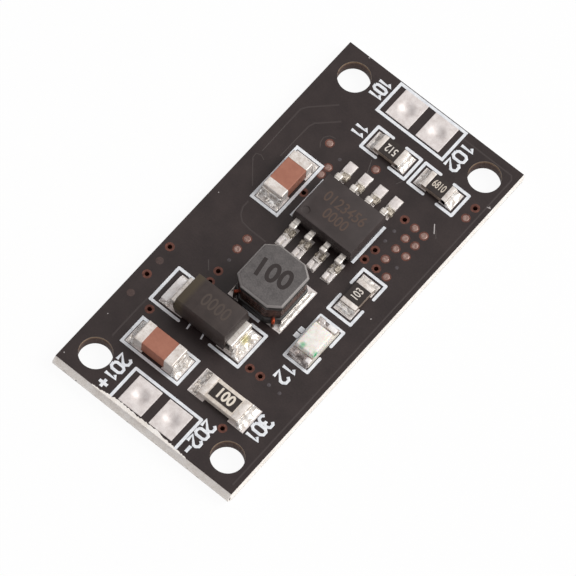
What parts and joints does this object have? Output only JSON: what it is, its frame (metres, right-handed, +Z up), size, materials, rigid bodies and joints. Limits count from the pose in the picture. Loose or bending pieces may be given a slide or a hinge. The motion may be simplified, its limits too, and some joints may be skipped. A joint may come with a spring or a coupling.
{
  "type": "power bank module",
  "caption": "Small dark circuit board with solder terminals at both ends, a controller chip, a drum inductor, a diode, an indicator lamp, capacitors and resistors.",
  "frame": {"origin": "centre of the board's underside", "axes": "+X across the board, +Y along it towards the input terminals, +Z up from the component side"},
  "size_m": [0.0148, 0.0304, 0.0037],
  "materials": {
    "laminate": "woven glass epoxy, snapped ends",
    "solder_mask": "dark brown lacquer, satin",
    "legend_ink": "printed white ink",
    "copper": "bare copper",
    "tin": "hot air levelled tin, soft sheen",
    "solder": "reflowed solder, bright and uneven",
    "capacitor_ceramic": "brown barium titanate, matt",
    "end_metal": "tinned terminations",
    "alumina": "white alumina",
    "resistor_glaze": "near-black protective glaze",
    "chip_mould": "charcoal epoxy moulding",
    "lead_metal": "tin-plated leads",
    "ferrite": "grey pressed ferrite",
    "coil_wire": "enamelled copper wire",
    "diode_mould": "charcoal epoxy moulding",
    "lamp_base": "white laminate",
    "lamp_lens": "cream diffusing epoxy"
  },
  "bodies": {
    "root": {"battery_capacitor_body": "capacitor_ceramic", "battery_capacitor_end_caps": "end_metal", "battery_capacitor_solder": "solder", "battery_minus_terminal_plating": "copper", "battery_minus_terminal_tin": "tin", "battery_plus_terminal_plating": "copper", "battery_plus_terminal_tin": "tin", "board_laminate": "laminate", "controller_body": "chip_mould", "controller_leads_front": "lead_metal", "controller_leads_rear": "lead_metal", "controller_solder_front": "solder", "controller_solder_rear": "solder", "diode_body": "diode_mould", "diode_leads": "lead_metal", "diode_solder": "solder", "footprint_copper": "tin", "inductor_core": "ferrite", "inductor_solder": "solder", "inductor_terminals": "end_metal", "inductor_winding": "coil_wire", "input_capacitor_body": "capacitor_ceramic", "input_capacitor_end_caps": "end_metal", "input_capacitor_solder": "solder", "input_minus_terminal_plating": "copper", "input_minus_terminal_tin": "tin", "input_plus_terminal_plating": "copper", "input_plus_terminal_tin": "tin", "lamp_base": "lamp_base", "lamp_lens": "lamp_lens", "lamp_resistor_end_caps": "end_metal", "lamp_resistor_glaze": "resistor_glaze", "lamp_resistor_solder": "solder", "lamp_resistor_substrate": "alumina", "lamp_solder": "solder", "lamp_terminals": "end_metal", "legend_outlines": "legend_ink", "open_via_barrels": "copper", "plugged_via_barrels": "copper", "program_resistor_end_caps": "end_metal", "program_resistor_glaze": "resistor_glaze", "program_resistor_solder": "solder", "program_resistor_substrate": "alumina", "sense_resistor_end_caps": "end_metal", "sense_resistor_glaze": "resistor_glaze", "sense_resistor_solder": "solder", "sense_resistor_substrate": "alumina", "solder_mask_bottom": "solder_mask", "solder_mask_top": "solder_mask", "supply_resistor_end_caps": "end_metal", "supply_resistor_glaze": "resistor_glaze", "supply_resistor_solder": "solder", "supply_resistor_substrate": "alumina", "tented_via_barrels": "copper", "via_solder_plugs": "solder"}
  },
  "joints": []
}
